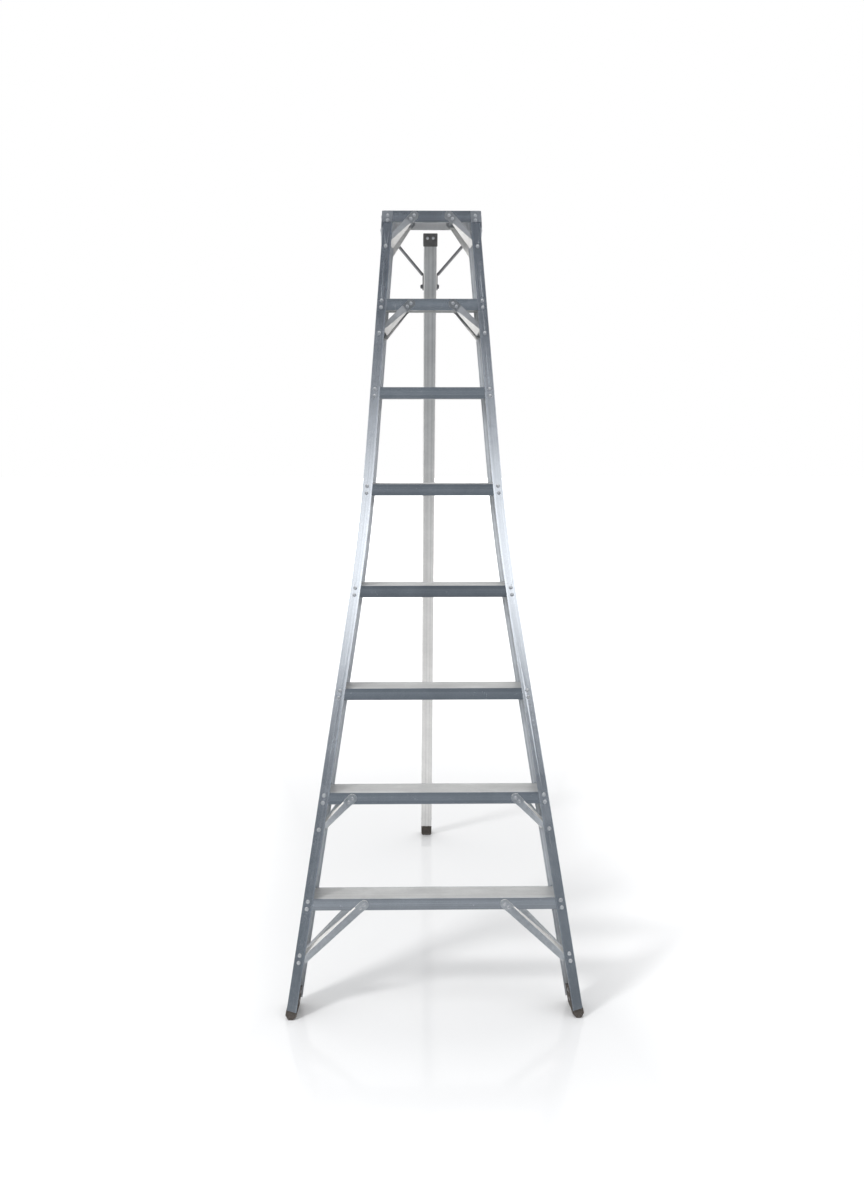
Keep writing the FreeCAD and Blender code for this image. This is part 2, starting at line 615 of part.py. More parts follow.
x_hinge = half(hs)                     # outer face of the rail line at the hinge
bush_out = x_hinge + PLATE_GAP + PLATE_T + 1.0
bush_in = 144.2
bush = Part.makeCylinder(BUSH_R, bush_out - bush_in, V(bush_in, HINGE_Y, HINGE_Z), V(1, 0, 0))
bush = bush.fuse(Part.makeCylinder(12.0, 1.2, V(bush_in, HINGE_Y, HINGE_Z), V(1, 0, 0)))
bush = bush.cut(Part.makeCylinder(BUSH_BORE, 60, V(120, HINGE_Y, HINGE_Z), V(1, 0, 0))).removeSplitter()
add("hinge_bushes", Part.makeCompound([bush, mirror(bush)]))

x_pin = half(ps)
pin = Part.makeCylinder(PIN_R, x_pin + PLATE_GAP + PLATE_T + 1.6 - 104.0, V(104.0, pin_y, pin_z), V(1, 0, 0))
pin_head = Part.makeCylinder(7.2, 2.4, V(x_pin + PLATE_GAP + PLATE_T + 1.0, pin_y, pin_z), V(1, 0, 0))
pin = pin.fuse(pin_head).removeSplitter()
add("stop_pins", Part.makeCompound([pin, mirror(pin)]))

# carriage bolts and nuts through plate and web
bolts, nuts = [], []


def dome_bolt(n, s, seat, grip, head_r=7.6, head_h=3.0, r=WEB_R, tail=6.5):
    p, ax = web_point(n, s, seat)
    pts = [(0, -head_h), ("arc", (head_r * 0.72, -head_h * 0.66), (head_r, -0.3)), (head_r, 0), (r, 0), (r, grip + tail), (0, grip + tail)]
    return revolved(pts, p, ax)


def web_nut(n, s, at, h=5.5, af=12.5):
    p, ax = web_point(n, s, at)
    return hexagon(p, ax, af, h, hole_r=WEB_R + 0.05)


for (n, s) in plate_bolts:
    both(bolts, dome_bolt(n, s, -PLATE_GAP - PLATE_T, PLATE_GAP + PLATE_T + RAIL_T))
    both(nuts, web_nut(n, s, RAIL_T + 0.05))
add("hinge_plate_bolts", Part.makeCompound(bolts))
add("hinge_plate_nuts", Part.makeCompound(nuts))

# ---------------------------------------------------------------- front shoes
PAD_D = FLANGE_F + 0.5
NUT_SEAT = 24.0


def cut_plane(p, q, r, inside):
    # block on the far side of the plane through p, q, r
    nn = (q - p).cross(r - p)
    nn.normalize()
    if nn.dot(inside - p) > 0:
        nn = nn * -1
    box = Part.makeBox(160, 160, 80, V(-80, -80, 0))
    box.Placement = FreeCAD.Placement(p, FreeCAD.Rotation(V(0, 0, 1), nn))
    return box


block = to_world(strip(-1.5, PAD_D, 0.0, D, s_lo=-70, s_hi=140)).common(under_end(-0.15))
plug = to_world(strip(RAIL_T + 0.2, PAD_D, RAIL_T + 0.2, D - RAIL_T - 0.2, s_lo=-60, s_hi=140))
# upper end of the pad falls towards the back
top = Part.Face(Part.makePolygon([V(300, -20, 102.3), V(300, 180, 30.7), V(300, 180, 400), V(300, -20, 400), V(300, -20, 102.3)])).extrude(V(300, 0, 0))
plug = plug.cut([top, box_w(300, 600, -50, 250, -200, 17.0)])
shoe_w = block.fuse(plug).removeSplitter()
shoe_w = shoe_w.common(Part.makeBox(1200, 1200, 400, V(-600, -300, 0)))
shoe_w = shoe_w.cut([to_world(web_cyl(n, s, 0, 40, WEB_HOLE)) for (n, s) in shoe_bolts]
                    + [to_world(web_cyl(n, s, NUT_SEAT, 60, 8.5)) for (n, s) in shoe_bolts])
# bevelled front corners and softened sides of the sole
core = V(414, 60, 20)
shoe_w = shoe_w.cut([
    cut_plane(V(409, 0, 0), V(396.5, 0, 13), V(394, 46, 0), core),
    cut_plane(V(421.5, 0, 0), V(431, 3, 15), V(436, 60, 0), core),
    cut_plane(V(403.5, 0, 0), V(397.5, 0, 4), V(403.5, 50, 0), core),
    cut_plane(V(427.0, 0, 0), V(431.5, 0, 4.5), V(427.0, 50, 0), core)])
# tread grooves in the sole
for yy in (28.0, 52.0, 76.0):
    shoe_w = shoe_w.cut(Part.makeBox(300, 4.0, 3.0, V(300, yy, -0.5)))
add("right_shoe", shoe_w)
add("left_shoe", mirror(shoe_w))
sb, sn = [], []
for (n, s) in shoe_bolts:
    both(sb, dome_bolt(n, s, 0.0, NUT_SEAT, tail=7.0))
    both(sn, web_nut(n, s, NUT_SEAT + 0.05))
add("shoe_bolts", Part.makeCompound(sb))
add("shoe_nuts", Part.makeCompound(sn))

add("tread_rivets_front", Part.makeCompound(rivets_tread_f))
add("tread_rivets_rear", Part.makeCompound(rivets_tread_r))
add("brace_rivets", Part.makeCompound(rivets_brace))
add("cap_rivets", Part.makeCompound(rivets_cap))

# ================================================================ rear pole
PC = math.cos(math.radians(POLE_ANG))
PS = math.sin(math.radians(POLE_ANG))


def pole_world(shape):
    s = shape.copy()
    s.rotate(O, V(1, 0, 0), POLE_ANG)
    s.translate(V(0, POLE_FOOT_Y, 0))
    return s


def pole_t(z):
    # distance along the centre line of a point at height z
    return z / PC


def rsq(w, r, t0, t1, dy=0.0):
    # rounded square prism about the pole's axis
    b = Part.makeBox(w, w, t1 - t0, V(-w / 2, -w / 2 + dy, t0))
    if r > 0:
        b = b.makeFillet(r, [e for e in b.Edges if abs(e.Vertexes[0].Z - e.Vertexes[1].Z) > 1.0])
    return b


T_END = pole_t(POLE_END_Z)
T_TOP = pole_t(POLE_TOP_Z) + 40
tube = rsq(POLE_W, 4.0, T_END, T_TOP)
tube = tube.cut(rsq(POLE_W - 2 * POLE_WALL, 2.0, T_END - 1, T_TOP + 1))
flutes = []
for x in (-9.0, 9.0):
    for m in (1, -1):
        flutes.append(Part.makeBox(6.0, 0.8, T_TOP - T_END + 2, V(x - 3.0, m * (POLE_W / 2) - (0.8 if m > 0 else 0.0), T_END - 1)))
tube = tube.cut(flutes)
CAPT = 2.0
z_tube = POLE_TOP_Z - CAPT - 0.2
half_space = Part.makeBox(400, 400, 300, V(-200, 500, z_tube))
tube_w = pole_world(tube).cut(half_space)

# through bolt for the struts
BOLT_Z = 2147.0
bolt_t = pole_t(BOLT_Z)
by = POLE_FOOT_Y - bolt_t * PS
bz = BOLT_Z
tube_w = tube_w.cut(Part.makeCylinder(4.05, 120, V(-60, by, bz), V(1, 0, 0)))

# pressed cap sleeve over the head of the pole
sleeve_len = 43.0
CW = POLE_W + 2 * CAPT + 0.1
cap_out = rsq(CW, 5.0, T_TOP - 200, T_TOP + 20)
cap_in = rsq(POLE_W + 0.1, 4.0, T_TOP - 220, T_TOP + 40)
low_plane_t = pole_t(POLE_TOP_Z)          # along the axis
front_top_t = (POLE_TOP_Z - 0.0) / PC - (CW / 2) * (PS / PC) * -1.0
# lower rim square to the pole: 43 mm down the front face from the horizontal top
t_front = (POLE_TOP_Z + (CW / 2) * PS) / PC
rim_t = t_front - sleeve_len
cap_sleeve = cap_out.cut(cap_in)
cap_sleeve = cap_sleeve.cut(Part.makeBox(200, 200, rim_t - (T_TOP - 260), V(-100, -100, T_TOP - 260)))
cap_top = cap_out.copy()
sleeve_w = pole_world(cap_sleeve).cut(Part.makeBox(400, 400, 300, V(-200, 500, POLE_TOP_Z - CAPT + 0.01)))
lid_w = pole_world(cap_top).common(Part.makeBox(400, 400, CAPT, V(-200, 500, POLE_TOP_Z - CAPT)))
head_cap = sleeve_w.fuse(lid_w).removeSplitter()
riv_t = t_front - 15.5
riv_b = t_front - 31.5
pr = []
for x in (-9.0, 9.0):
    for (dy, ax) in ((-1, 1), (1, -1)):
        p = (x, dy * CW / 2, riv_t if dy < 0 else riv_b)
        pr.append(pole_world(rivet(p, (0, ax, 0), CAPT + POLE_WALL - 0.8 + 0.9, head_r=4.6, head_h=2.2, tail_r=4.0, tail_h=2.0, shank=2.4)))
rh = []
for x in (-9.0, 9.0):
    rh.append(pole_world(Part.makeCylinder(2.45, 40, V(x, -40, riv_t), V(0, 1, 0))))
    rh.append(pole_world(Part.makeCylinder(2.45, 40, V(x, 0, riv_b), V(0, 1, 0))))
tube_w = tube_w.cut(rh)
head_cap = head_cap.cut(rh)
add("pole_cap", head_cap)
add("pole_cap_rivets", Part.makeCompound(pr))

# struts: one bent rod each, trunnion at the hinge, flattened lug at the pole
bX, bY, bZ = 138.0, HINGE_Y, HINGE_Z
dX, dY, dZ = 25.5, 802.0, 2184.0
TR_END = bush_out + 0.3 + 1.5 + 3.2
pA = V(TR_END, HINGE_Y, HINGE_Z)
pB = V(bX, bY, bZ)
pC = V(dX, dY, dZ)
u1 = (pB - pA).normalize()
u2 = (pC - pB).normalize()
ang = u1.getAngle(u2)
RB = 10.0
tl = RB * math.tan(ang / 2)
q1 = pB - u1 * tl
q2 = pB + u2 * tl
bis = (u2 - u1).normalize()
cen = pB + bis * (RB / math.cos(ang / 2))
mid = cen - bis * RB
path = Part.Wire([Part.makeLine(pA, q1), Part.Arc(q1, mid, q2).toShape(), Part.makeLine(q2, pC)])
prof = Part.Wire(Part.makeCircle(ROD_R, pA, u1))
rod = path.makePipeShell([prof], True, False)
lug_len, lug_w, lug_t = 52.0, 17.0, 3.4
lug_t0 = bolt_t - 12.0
x_lug = POLE_W / 2 + 0.25
lug = Part.makeBox(lug_t, lug_w, lug_len, V(x_lug, -lug_w / 2, lug_t0))
try:
    lug = lug.makeFillet(7.0, [e for e in lug.Edges if abs(e.Vertexes[0].X - e.Vertexes[1].X) > 1.0])
except Exception:
    pass
lug = pole_world(lug)
strut = rod.fuse(lug)
strut = strut.cut([Part.makeBox(x_lug + 100, 400, 400, V(-100, 650, 2000)),
                   Part.makeCylinder(4.05, 120, V(-60, by, bz), V(1, 0, 0))]).removeSplitter()
if len(strut.Solids) > 1:
    strut = max(strut.Solids, key=lambda q: q.Volume)
add("strut_right", strut)
add("strut_left", mirror(strut))

# through bolt, nut and washers
WX = x_lug + lug_t
wash = []
for m in (1, -1):
    w = Part.makeCylinder(8.0, 1.0, V(WX + 0.05, by, bz), V(1, 0, 0)).cut(Part.makeCylinder(4.06, 8, V(WX - 2, by, bz), V(1, 0, 0)))
    wash.append(w if m > 0 else mirror(w))
add("strut_washers", Part.makeCompound(wash))
hx = WX + 0.05 + 1.0
sbolt = hexagon((hx, by, bz), (1, 0, 0), 12.5, 4.0)
sbolt = sbolt.fuse(Part.makeCylinder(4.0, 2 * hx + 6.2, V(-hx - 6.2, by, bz), V(1, 0, 0))).removeSplitter()
add("strut_bolt", sbolt)
snut = hexagon((-hx, by, bz), (-1, 0, 0), 12.5, 5.0, hole_r=4.05)
add("strut_nut", snut)

# trunnion washers and cap nuts, outside the hinge plates
tw, tn = [], []
w = Part.makeCylinder(11.0, 1.5, V(bush_out + 0.3, HINGE_Y, HINGE_Z), V(1, 0, 0)).cut(Part.makeCylinder(ROD_R + 0.03, 10, V(bush_out - 3, HINGE_Y, HINGE_Z), V(1, 0, 0)))
tw = [w, mirror(w)]
xn = bush_out + 0.3 + 1.5
ht = 3.6
cn = revolved([(0, ht), (4.0, ht), ("arc", (7.0, ht - 0.6), (8.6, 0.8)), (8.6, 0.02), (ROD_R + 0.03, 0.02), (ROD_R + 0.03, ht - 0.35), (0, ht - 0.35)],
              (xn, HINGE_Y, HINGE_Z), (1, 0, 0))
tn = [cn, mirror(cn)]
add("hinge_washers", Part.makeCompound(tw))
add("hinge_caps", Part.makeCompound(tn))

# rubber tip of the pole
tip = rsq(POLE_W, 4.0, -60, T_END - 0.15)
plug = rsq(POLE_W - 2 * POLE_WALL - 0.6, 1.5, T_END - 2, T_END + 45)
tip = tip.fuse(plug).removeSplitter()
PINT = T_END + 22
tip = tip.cut(Part.makeCylinder(2.6, 80, V(-40, 0, PINT), V(1, 0, 0)))
tip_w = pole_world(tip).common(Part.makeBox(400, 600, 400, V(-200, 1500, 0)))
for (a, b2) in (((-22, -1), (-15.5, 7)), ((22, -1), (15.5, 7))):
    s = 1 if a[0] > 0 else -1
    w = Part.makePolygon([V(s * 15.0, 1500, -0.5), V(s * 23, 1500, -0.5), V(s * 23, 1500, 7.5), V(s * 21.5, 1500, 7.5), V(s * 15.0, 1500, -0.5)])
    tip_w = tip_w.cut(Part.Face(w).extrude(V(0, 500, 0)))
for yy in (POLE_FOOT_Y - 9.0, POLE_FOOT_Y + 7.0):
    tip_w = tip_w.cut(Part.makeBox(100, 3.0, 2.5, V(-50, yy, -0.5)))
add("pole_shoe", tip_w)
tube_w = tube_w.cut(pole_world(Part.makeCylinder(2.6, 80, V(-40, 0, PINT), V(1, 0, 0))))
tp = rivet((POLE_W / 2, 0, PINT), (-1, 0, 0), POLE_W, head_r=4.6, head_h=2.2, tail_r=4.2, tail_h=2.0, shank=2.5)
add("pole_shoe_rivet", pole_world(tp))
add("pole", tube_w)

# ---------------------------------------------------------------- write out
# origin on the floor, mid-plane in X, middle of the footprint in Y
y_min = min(nodes[n].BoundBox.YMin for n in order)
y_max = max(nodes[n].BoundBox.YMax for n in order)
SHIFT_Y = -0.5 * (y_min + y_max)

os.makedirs("parts", exist_ok=True)
for name in order:
    s = nodes[name].copy()
    s.translate(V(0, SHIFT_Y, 0))
    bad = not s.isValid()
    print("%-24s solids %3d  vol %12.1f%s" % (name, len(s.Solids), s.Volume, "  INVALID" if bad else ""))
    s.exportStep("parts/%s.step" % name)
print("nodes", len(order), "shift_y", round(SHIFT_Y, 3), "y", round(y_min, 2), round(y_max, 2))
print("hinge y %.3f z %.3f  fold line" % (HINGE_Y + SHIFT_Y, HINGE_Z))
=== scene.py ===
import math

import bpy
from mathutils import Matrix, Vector


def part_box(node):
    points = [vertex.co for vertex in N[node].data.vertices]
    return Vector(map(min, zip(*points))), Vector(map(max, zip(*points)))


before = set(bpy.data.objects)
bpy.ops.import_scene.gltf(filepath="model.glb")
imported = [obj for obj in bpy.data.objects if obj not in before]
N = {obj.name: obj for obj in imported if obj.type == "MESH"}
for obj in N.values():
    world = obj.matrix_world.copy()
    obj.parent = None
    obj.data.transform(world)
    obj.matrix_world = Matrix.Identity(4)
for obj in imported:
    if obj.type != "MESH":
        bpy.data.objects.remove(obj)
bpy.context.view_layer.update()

# ------------------------------------------------------------- row frame facts
LEAN = math.radians(13.0)
SL, CL, TL = math.sin(LEAN), math.cos(LEAN), math.tan(LEAN)
_lo, _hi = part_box("tread_4")
# y of the front plane of the rails at the floor
Y0 = _lo[1] - ((_hi[2] - 0.0346) * TL + 0.0032 / CL)
CAP_LO, CAP_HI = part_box("top_cap")
POLE_LO, POLE_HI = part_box("pole")
POLE_ANG = math.radians(23.226)


# ------------------------------------------------------------- node helpers
class Mat:
    def __init__(self, name):
        self.m = bpy.data.materials.new(name)
        self.m.use_nodes = True
        self.t = self.m.node_tree
        self.n = self.t.nodes
        self.l = self.t.links
        self.n.clear()
        self.out = self.n.new("ShaderNodeOutputMaterial")
        self.b = self.n.new("ShaderNodeBsdfPrincipled")
        self.l.new(self.b.outputs[0], self.out.inputs[0])
        tc = self.n.new("ShaderNodeTexCoord")
        self.co = tc.outputs["Object"]

    def put(self, sock, v):
        if isinstance(v, (int, float)):
            sock.default_value = v
        elif isinstance(v, (tuple, list)):
            if len(v) == 3 and len(sock.default_value) == 4:
                v = tuple(v) + (1.0,)
            sock.default_value = v
        else:
            self.l.new(v, sock)

    def math(self, op, a, b=None, c=None, clamp=False):
        q = self.n.new("ShaderNodeMath")
        q.operation = op
        q.use_clamp = clamp
        self.put(q.inputs[0], a)
        if b is not None:
            self.put(q.inputs[1], b)
        if c is not None:
            self.put(q.inputs[2], c)
        return q.outputs[0]

    def xyz(self, v=None):
        q = self.n.new("ShaderNodeSeparateXYZ")
        self.l.new(self.co if v is None else v, q.inputs[0])
        return q.outputs[0], q.outputs[1], q.outputs[2]

    def vec(self, x, y, z):
        q = self.n.new("ShaderNodeCombineXYZ")
        for i, v in enumerate((x, y, z)):
            self.put(q.inputs[i], v)
        return q.outputs[0]

    def noise(self, v, scale, detail=4.0, rough=0.55, dist=0.0):
        q = self.n.new("ShaderNodeTexNoise")
        self.l.new(v, q.inputs["Vector"])
        q.inputs["Scale"].default_value = scale
        q.inputs["Detail"].default_value = detail
        q.inputs["Roughness"].default_value = rough
        q.inputs["Distortion"].default_value = dist
        return q.outputs["Fac"]

    def voronoi(self, v, scale, out="Distance", rnd=1.0):
        q = self.n.new("ShaderNodeTexVoronoi")
        self.l.new(v, q.inputs["Vector"])
        q.inputs["Scale"].default_value = scale
        q.inputs["Randomness"].default_value = rnd
        return q.outputs[out]

    def ramp(self, f, a, b, x=0.0, y=1.0, smooth=True):
        q = self.n.new("ShaderNodeMapRange")
        q.interpolation_type = "SMOOTHSTEP" if smooth else "LINEAR"
        self.put(q.inputs["Value"], f)
        q.inputs["From Min"].default_value = a
        q.inputs["From Max"].default_value = b
        q.inputs["To Min"].default_value = x
        q.inputs["To Max"].default_value = y
        return q.outputs["Result"]

    def mix(self, f, a, b):
        q = self.n.new("ShaderNodeMix")
        q.data_type = "RGBA"
        self.put(q.inputs[0], f)
        self.put(q.inputs[6], a)
        self.put(q.inputs[7], b)
        return q.outputs[2]

    def scale_color(self, c, f):
        # colour times a number
        q = self.n.new("ShaderNodeMix")
        q.data_type = "RGBA"
        q.blend_type = "MULTIPLY"
        q.inputs[0].default_value = 1.0
        self.put(q.inputs[6], c)
        self.l.new(self.vec(f, f, f), q.inputs[7])
        return q.outputs[2]

    def bump(self, h, strength, dist, prev=None):
        q = self.n.new("ShaderNodeBump")
        q.inputs["Strength"].default_value = strength
        q.inputs["Distance"].default_value = dist
        self.l.new(h, q.inputs["Height"])
        if prev is not None:
            self.l.new(prev, q.inputs["Normal"])
        return q.outputs[0]

    def done(self, color, rough, normal=None, metallic=1.0, **kw):
        self.put(self.b.inputs["Base Color"], color)
        self.put(self.b.inputs["Roughness"], rough)
        self.b.inputs["Metallic"].default_value = metallic
        if normal is not None:
            self.l.new(normal, self.b.inputs["Normal"])
        for k, v in kw.items():
            self.b.inputs[k].default_value = v
        return self.m


def metal(name, color, streak_vec, spot_vec, rough=0.32, streak=0.09, patch=0.05,
          bump=0.12, specks=0.25, mask=None, tint=1.0, dull=None, metallic=1.0):
    """Mill finish: die lines along the extrusion, handling marks, dull patches, pin specks."""
    k = Mat(name)
    sv = streak_vec(k)
    pv = spot_vec(k) if spot_vec else k.co
    fine = k.noise(sv, 1.0, 3.0, 0.6)
    wide = k.noise(sv, 0.22, 2.0, 0.5)
    cloud = k.noise(pv, 9.0, 5.0, 0.6, 0.6)
    small = k.noise(pv, 85.0, 4.0, 0.65)
    # short handling scratches, in a few directions
    scr = k.voronoi(pv, 46.0, "Distance")
    scr_m = k.ramp(scr, 0.0, 0.06, 1.0, 0.0)
    spk = k.voronoi(pv, 330.0, "Distance")
    spk_sel = k.ramp(k.noise(pv, 40.0, 2.0), 0.58, 0.70)
    spk_m = k.math("MULTIPLY", k.ramp(spk, 0.10, 0.22, 1.0, 0.0), spk_sel)
    f = k.math("ADD", 0.88 * tint, k.math("MULTIPLY", k.math("SUBTRACT", wide, 0.5), 0.34))
    f = k.math("ADD", f, k.math("MULTIPLY", k.math("SUBTRACT", cloud, 0.5), 0.30))
    f = k.math("ADD", f, k.math("MULTIPLY", k.math("SUBTRACT", small, 0.5), 0.14))
    f = k.math("ADD", f, k.math("MULTIPLY", spk_m, specks))
    if mask is not None:
        f = k.math("MULTIPLY", f, mask(k))
    col = k.scale_color(color, f)
    r = k.math("ADD", rough, k.math("MULTIPLY", k.math("SUBTRACT", fine, 0.5), streak * 2))
    r = k.math("ADD", r, k.math("MULTIPLY", k.math("SUBTRACT", cloud, 0.5), patch * 2))
    r = k.math("ADD", r, k.math("MULTIPLY", spk_m, 0.12), clamp=True)
    h = k.math("ADD", fine, k.math("MULTIPLY", small, 0.25))
    nb = k.bump(h, bump, 0.0004)
    nb = k.bump(scr_m, 0.05, 0.0003, nb)
    k.done(col, r, nb)
    if dull is not None:
        # oxidised, light scattering skin where the mask says so; a gain above 1 also brightens its colour there, a
        # painted light
        f, r_dull, m_dull, painted_light_gain = dull(k)
        col = k.scale_color(col, k.math("ADD", 1.0, k.math("MULTIPLY", f, painted_light_gain - 1.0)))
        warm = k.n.new("ShaderNodeMix")
        warm.data_type = "RGBA"
        warm.blend_type = "MULTIPLY"
        k.put(warm.inputs[0], f)
        k.put(warm.inputs[6], col)
        warm.inputs[7].default_value = (1.030, 0.985, 0.925, 1.0)
        k.put(k.b.inputs["Base Color"], warm.outputs[2])
        k.put(k.b.inputs["Roughness"], k.math("ADD", r, k.math("MULTIPLY", f, r_dull), clamp=True))
        k.put(k.b.inputs["Metallic"], k.math("SUBTRACT", 1.0, k.math("MULTIPLY", f, m_dull)))
    return k.m


# coordinates ---------------------------------------------------------------
def rail_coords(k):
    x, y, z = k.xyz()
    yp = k.math("SUBTRACT", y, Y0)
    s = k.math("ADD", k.math("MULTIPLY", yp, SL), k.math("MULTIPLY", z, CL))
    n = k.math("SUBTRACT", k.math("MULTIPLY", yp, CL), k.math("MULTIPLY", z, SL))
    ds = k.math("SUBTRACT", 1.423, s)
    lo = k.math("ADD", 0.2184, k.math("MULTIPLY", ds, 0.1494))
    up = k.math("ADD", 0.2184, k.math("MULTIPLY", ds, 0.0739))
    hw = k.math("SMOOTH_MAX", lo, up, 0.03)
    u = k.math("SUBTRACT", hw, k.math("ABSOLUTE", x))
    return u, n, s, x


def rail_streak(k):
    u, n, s, x = rail_coords(k)
    # the two rails carry different lines
    side = k.math("MULTIPLY", k.math("SIGN", x), 7.3)
    return k.vec(k.math("ADD", k.math("MULTIPLY", u, 900.0), side), k.math("MULTIPLY", n, 900.0), k.math("MULTIPLY", s, 2.2))


def rail_painted_highlight_mask(k):
    u, n, s, x = rail_coords(k)
    # painted highlight: the outer corners and the rounded lip are brightened in colour for the light they catch; the
    # colour also gets darker towards the floor, with a noisy edge
    edge = k.ramp(k.math("ABSOLUTE", k.math("SUBTRACT", u, 0.0004)), 0.0004, 0.0022, 1.16, 1.0)
    lip_highlight = k.ramp(k.math("ABSOLUTE", k.math("SUBTRACT", u, 0.0272)), 0.0012, 0.0026, 1.22, 1.0)
    low = k.ramp(k.math("ADD", s, k.math("MULTIPLY", k.noise(k.co, 14.0, 4.0), 0.16)), 0.05, 0.42, 0.86, 1.0)
    return k.math("MULTIPLY", k.math("MULTIPLY", edge, lip_highlight), low)


def rail_dull(k):
    # inside of the channel: a rougher, less metallic skin whose colour is lifted 1.4 times, a painted light for the
    # dim inside of the channel
    u, n, s, x = rail_coords(k)
    a = k.math("MULTIPLY", k.ramp(n, 0.0028, 0.0036), k.ramp(n, 0.1064, 0.1074, 1.0, 0.0))
    return k.math("MULTIPLY", a, k.ramp(u, 0.0026, 0.0034)), 0.34, 0.92, 1.4


def along_x(k):
    x, y, z = k.xyz()
    return k.vec(k.math("MULTIPLY", x, 2.6), k.math("MULTIPLY", y, 850.0), k.math("MULTIPLY", z, 850.0))


def pole_streak(k):
    x, y, z = k.xyz()
    c, s = math.cos(POLE_ANG), math.sin(POLE_ANG)
    across = k.math("ADD", k.math("MULTIPLY", y, c), k.math("MULTIPLY", z, s))
    along = k.math("SUBTRACT", k.math("MULTIPLY", z, c), k.math("MULTIPLY", y, s))
    return k.vec(k.math("MULTIPLY", x, 800.0), k.math("MULTIPLY", across, 800.0), k.math("MULTIPLY", along, 2.4))


def isotropic(scale):
    def f(k):
        x, y, z = k.xyz()
        return k.vec(k.math("MULTIPLY", x, scale), k.math("MULTIPLY", y, scale), k.math("MULTIPLY", z, scale))
    return f


ALU = (0.636, 0.667, 0.704)

M = {}
M["rail"] = metal("rail_mill_aluminium", ALU, rail_streak, None, rough=0.20, streak=0.06, bump=0.10, mask=rail_painted_highlight_mask, dull=rail_dull)


def tread_mat(name, z_top, y_front, y_back, color=ALU, painted_light_gain=1.0):
    def mask(k):
        x, y, z = k.xyz()
        d = k.math("SUBTRACT", z_top, z)                      # down from the top
        # on the skirts: a faint lighter band below the top edge, a painted reflection
        a = k.ramp(d, 0.0085, 0.0105, 0.0, 1.0)
        b = k.ramp(d, 0.0215, 0.0265, 1.0, 0.0)
        band = k.math("ADD", 1.0, k.math("MULTIPLY", k.math("MULTIPLY", a, b), 0.13))
        # foot wear on the top between the rails
        wear = k.ramp(k.noise(k.vec(k.math("MULTIPLY", x, 3.0), k.math("MULTIPLY", y, 9.0), 0.0), 2.2, 4.0), 0.35, 0.68, 0.94, 1.05)
        top = k.ramp(d, 0.0, 0.002, 1.0, 0.0)
        return k.math("MULTIPLY", band, k.math("ADD", k.math("MULTIPLY", wear, top), k.math("SUBTRACT", 1.0, top)))
    def dull(k):
        # top and inside of the channel, between the outer faces of the skirts
        x, y, z = k.xyz()
        f = k.math("MULTIPLY", k.ramp(k.math("SUBTRACT", y, y_front), 0.0022, 0.0032),
                   k.ramp(k.math("SUBTRACT", y_back, y), 0.0022, 0.0032))
        return f, 0.22, 0.6, painted_light_gain
    return metal(name, color, along_x, None, rough=0.20, streak=0.05, bump=0.10, specks=0.5, mask=mask, dull=dull)


for i in range(1, 8):
    lo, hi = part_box("tread_%d" % i)
    # the ears follow the leaning flanges; the skirts stand upright inside them
    M["tread_%d" % i] = tread_mat("tread_%d_mill_aluminium" % i, hi[2], lo[1] + 0.0346 * TL, hi[1] - 0.0346 * TL)
# painted shade and light: the cap is a darker copy of the treads' aluminium, so its skirts read darker, and a 1.5 gain
# lifts its top and inside back up
M["cap"] = tread_mat("cap_mill_aluminium_painted_shade", CAP_HI[2], CAP_LO[1], CAP_HI[1], (0.465, 0.490, 0.525), 1.50)
def brace_face_painted_light(k, painted_light_gain):
    # painted highlight: brace faces that point up or down are duller and less metallic and their colour is lifted by
    # the gain, for the light they catch from above and from the floor
    g = k.n.new("ShaderNodeNewGeometry")
    nx, ny, nz = k.xyz(g.outputs["True Normal"])
    return k.ramp(k.math("ABSOLUTE", nz), 0.36, 0.50), 0.30, 0.95, painted_light_gain


def brace_mat(name, c, rough, painted_light_gain):
    return metal(name, c, isotropic(420.0), None, rough=rough, streak=0.05, patch=0.05, bump=0.08, specks=0.3,
                 dull=lambda k: brace_face_painted_light(k, painted_light_gain))


# painted light and shade: the low and high braces are one pressed aluminium, given a lighter colour low down and a
# darker one high up
M["brace_low_painted_light"] = brace_mat("brace_pressed_aluminium_low", (0.78, 0.80, 0.82), 0.42, 1.22)
M["brace_high_painted_shade"] = brace_mat("brace_pressed_aluminium_high", (0.435, 0.447, 0.462), 0.34, 1.80)


def pole_mask(k):
    # two faint darker stripes along the tube on the front face, and painted shade: the sides of the tube are darker
    x, y, z = k.xyz()
    ax = k.math("ABSOLUTE", k.math("SUBTRACT", x, 0.0015))
    line = k.math("MULTIPLY", k.ramp(ax, 0.0040, 0.0062), k.ramp(ax, 0.0085, 0.0110, 1.0, 0.0))
    side = k.ramp(k.math("ABSOLUTE", x), 0.0145, 0.0175)
    f = k.math("SUBTRACT", 1.0, k.math("MULTIPLY", line, 0.085))
    return k.math("SUBTRACT", f, k.math("MULTIPLY", side, 0.07))


M["pole"] = metal("pole_mill_aluminium", (0.855, 0.848, 0.832), pole_streak, None, rough=0.36, streak=0.07, patch=0.05, bump=0.12, specks=0.2, mask=pole_mask)
M["plate"] = metal("plate_zinc_steel", (0.46, 0.48, 0.51), isotropic(260.0), None, rough=0.38, streak=0.06, patch=0.08, bump=0.10, specks=0.35)
M["strut"] = metal("strut_zinc_steel", (0.30, 0.30, 0.31), isotropic(300.0), None, rough=0.42, streak=0.05, patch=0.06, bump=0.12, specks=0.3)
M["fastener"] = metal("fastener_zinc", (0.55, 0.56, 0.58), isotropic(500.0), None, rough=0.30, streak=0.05, patch=0.05, bump=0.08, specks=0.2)
M["dark_fastener"] = metal("fastener_dull", (0.26, 0.26, 0.27), isotropic(500.0), None, rough=0.42, streak=0.05, patch=0.05, bump=0.08, specks=0.2)
M["rivet"] = metal("rivet_steel", (0.83, 0.84, 0.86), isotropic(700.0), None, rough=0.30, streak=0.06, patch=0.05, bump=0.10, specks=0.2)


